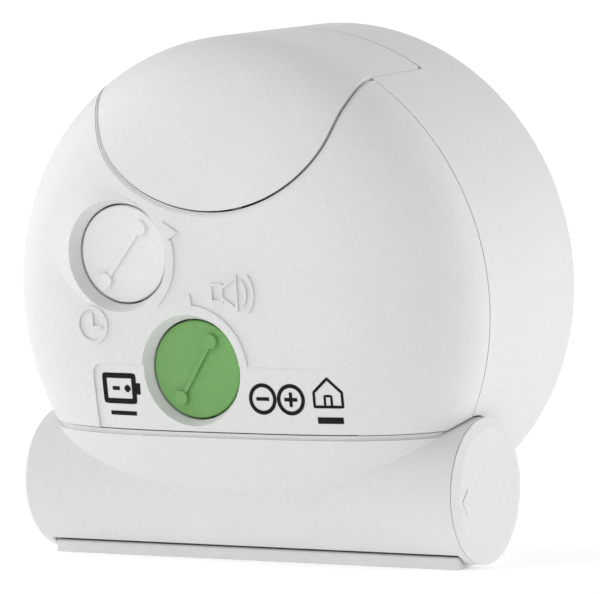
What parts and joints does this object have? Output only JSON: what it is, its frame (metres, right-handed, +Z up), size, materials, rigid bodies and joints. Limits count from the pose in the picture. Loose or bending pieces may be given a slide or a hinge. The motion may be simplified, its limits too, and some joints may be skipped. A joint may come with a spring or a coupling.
{
  "type": "table alarm clock",
  "caption": "Round-headed quartz alarm clock on a horizontal battery barrel, with a snooze bar, two recessed set knobs and a turning battery cap.",
  "frame": {"origin": "centre of the flat underside of the foot plate", "axes": "+Z up; the dial faces -Y and the set knobs face +Y; the battery barrel runs along X with its cap at -X"},
  "size_m": [0.073, 0.0458, 0.0749],
  "materials": {
    "white_plastic": "fine matte moulded plastic",
    "knob_white": "smooth satin plastic",
    "knob_green": "satin green plastic",
    "clear_lens": "clear moulded window",
    "dial_white": "printed white dial",
    "print_black": "black print",
    "hand_black": "black lacquered metal",
    "hand_green": "green lacquered metal",
    "movement_plastic": "natural engineering plastic",
    "gear_plastic": "natural acetal",
    "steel": "bright steel",
    "copper": "enamelled copper wire",
    "board": "green solder resist",
    "black_plastic": "black plastic",
    "magnet": "sintered magnet",
    "cell_wrap": "printed cell wrap"
  },
  "bodies": {
    "case": {"front_housing": "white_plastic", "lens": "clear_lens", "dial": "dial_white", "dial_marks": "print_black", "back_cover": "white_plastic", "snooze_pin": "steel", "snooze_switch": "black_plastic", "battery_barrel": "white_plastic", "battery_cell": "cell_wrap", "contact_plate": "steel", "contact_strip": "steel", "foot_plate": "white_plastic", "foot_screw": "steel", "front_plate": "movement_plastic", "rear_plate": "movement_plastic", "train_bridge": "movement_plastic", "movement_screw": "steel", "plate_screw": "steel", "board_screw": "steel", "stator": "steel", "coil_core": "steel", "coil_bobbin": "black_plastic", "coil_winding": "copper", "circuit_board": "board", "chip": "black_plastic", "crystal": "steel", "buzzer": "black_plastic"},
    "snooze_bar": {"snooze_bar": "white_plastic"},
    "switch_plunger": {"switch_plunger": "black_plastic"},
    "battery_cap": {"battery_cap": "white_plastic", "cap_contact": "steel", "cap_spring": "steel"},
    "time_knob": {"time_knob": "knob_white", "time_set_shaft": "gear_plastic"},
    "alarm_knob": {"alarm_knob": "knob_green", "alarm_set_shaft": "gear_plastic"},
    "minute_wheel": {"minute_wheel": "gear_plastic"},
    "minute_hand": {"cannon_pinion": "gear_plastic", "minute_hand": "hand_black"},
    "hour_hand": {"hour_wheel": "gear_plastic", "hour_hand": "hand_black"},
    "alarm_hand": {"alarm_wheel": "gear_plastic", "alarm_hand": "hand_green"},
    "second_hand": {"second_wheel": "gear_plastic", "second_hand": "hand_black"},
    "third_wheel": {"third_wheel": "gear_plastic"},
    "centre_wheel": {"centre_wheel": "gear_plastic"},
    "intermediate_wheel": {"intermediate_wheel": "gear_plastic"},
    "rotor": {"rotor_magnet": "magnet", "rotor_pinion": "gear_plastic"}
  },
  "joints": [
    {"name": "snooze_press", "type": "hinge", "parent": "case", "child": "snooze_bar", "pos_m": [0, 0.02177, 0.05105], "axis": [1, 0, 0], "range_deg": [0, 1.1], "stiffness_Nm_per_rad": 2, "springref_deg": -0.57},
    {"name": "switch_press", "type": "slide", "parent": "case", "child": "switch_plunger", "axis": [0, -0.9927, 0.1207], "range_m": [0, 0.0002056]},
    {"name": "battery_cap_turn", "type": "hinge", "parent": "case", "child": "battery_cap", "pos_m": [-0.03455, 0.00877, 0.01053], "axis": [1, 0, 0], "range_deg": [0, 45]},
    {"name": "time_set", "type": "hinge", "parent": "case", "child": "time_knob", "pos_m": [0.01515, 0.02254, 0.0425], "axis": [0, -0.9927, 0.1207], "continuous": true},
    {"name": "minute_wheel_turn", "type": "hinge", "parent": "case", "child": "minute_wheel", "pos_m": [0.0058, 0.00243, 0.04277], "axis": [0, -0.9927, 0.1207], "continuous": true},
    {"name": "minute_hand_turn", "type": "hinge", "parent": "case", "child": "minute_hand", "pos_m": [0, 0.00877, 0.03692], "axis": [0, -0.9927, 0.1207], "continuous": true},
    {"name": "hour_hand_turn", "type": "hinge", "parent": "case", "child": "hour_hand", "pos_m": [0, 0.00877, 0.03692], "axis": [0, -0.9927, 0.1207], "continuous": true},
    {"name": "alarm_set", "type": "hinge", "parent": "case", "child": "alarm_knob", "pos_m": [0.00445, 0.02063, 0.02671], "axis": [0, -0.9927, 0.1207], "continuous": true},
    {"name": "alarm_hand_turn", "type": "hinge", "parent": "case", "child": "alarm_hand", "pos_m": [0, 0.00877, 0.03692], "axis": [0, -0.9927, 0.1207], "continuous": true},
    {"name": "second_hand_turn", "type": "hinge", "parent": "case", "child": "second_hand", "pos_m": [0, 0.00877, 0.03692], "axis": [0, -0.9927, 0.1207], "continuous": true},
    {"name": "third_wheel_turn", "type": "hinge", "parent": "case", "child": "third_wheel", "pos_m": [-0.00799, 0.00544, 0.0344], "axis": [0, -0.9927, 0.1207], "continuous": true},
    {"name": "centre_wheel_turn", "type": "hinge", "parent": "case", "child": "centre_wheel", "pos_m": [0, 0.00877, 0.03692], "axis": [0, -0.9927, 0.1207], "continuous": true},
    {"name": "intermediate_turn", "type": "hinge", "parent": "case", "child": "intermediate_wheel", "pos_m": [-0.00104, 0.00948, 0.04279], "axis": [0, -0.9927, 0.1207], "continuous": true},
    {"name": "rotor_turn", "type": "hinge", "parent": "case", "child": "rotor", "pos_m": [-0.00589, 0.00883, 0.04569], "axis": [0, -0.9927, 0.1207], "continuous": true}
  ],
  "couplings": [
    {"joint": "switch_press", "follows": "snooze_press", "m_per_rad": 0.0105},
    {"joint": "minute_wheel_turn", "follows": "time_set", "ratio": -0.66667},
    {"joint": "minute_hand_turn", "follows": "time_set", "ratio": 2},
    {"joint": "hour_hand_turn", "follows": "time_set", "ratio": 0.16667},
    {"joint": "alarm_hand_turn", "follows": "alarm_set", "ratio": -0.5},
    {"joint": "third_wheel_turn", "follows": "second_hand_turn", "ratio": -0.13333},
    {"joint": "centre_wheel_turn", "follows": "second_hand_turn", "ratio": 0.016667},
    {"joint": "intermediate_turn", "follows": "second_hand_turn", "ratio": -5},
    {"joint": "rotor_turn", "follows": "second_hand_turn", "ratio": 30}
  ]
}
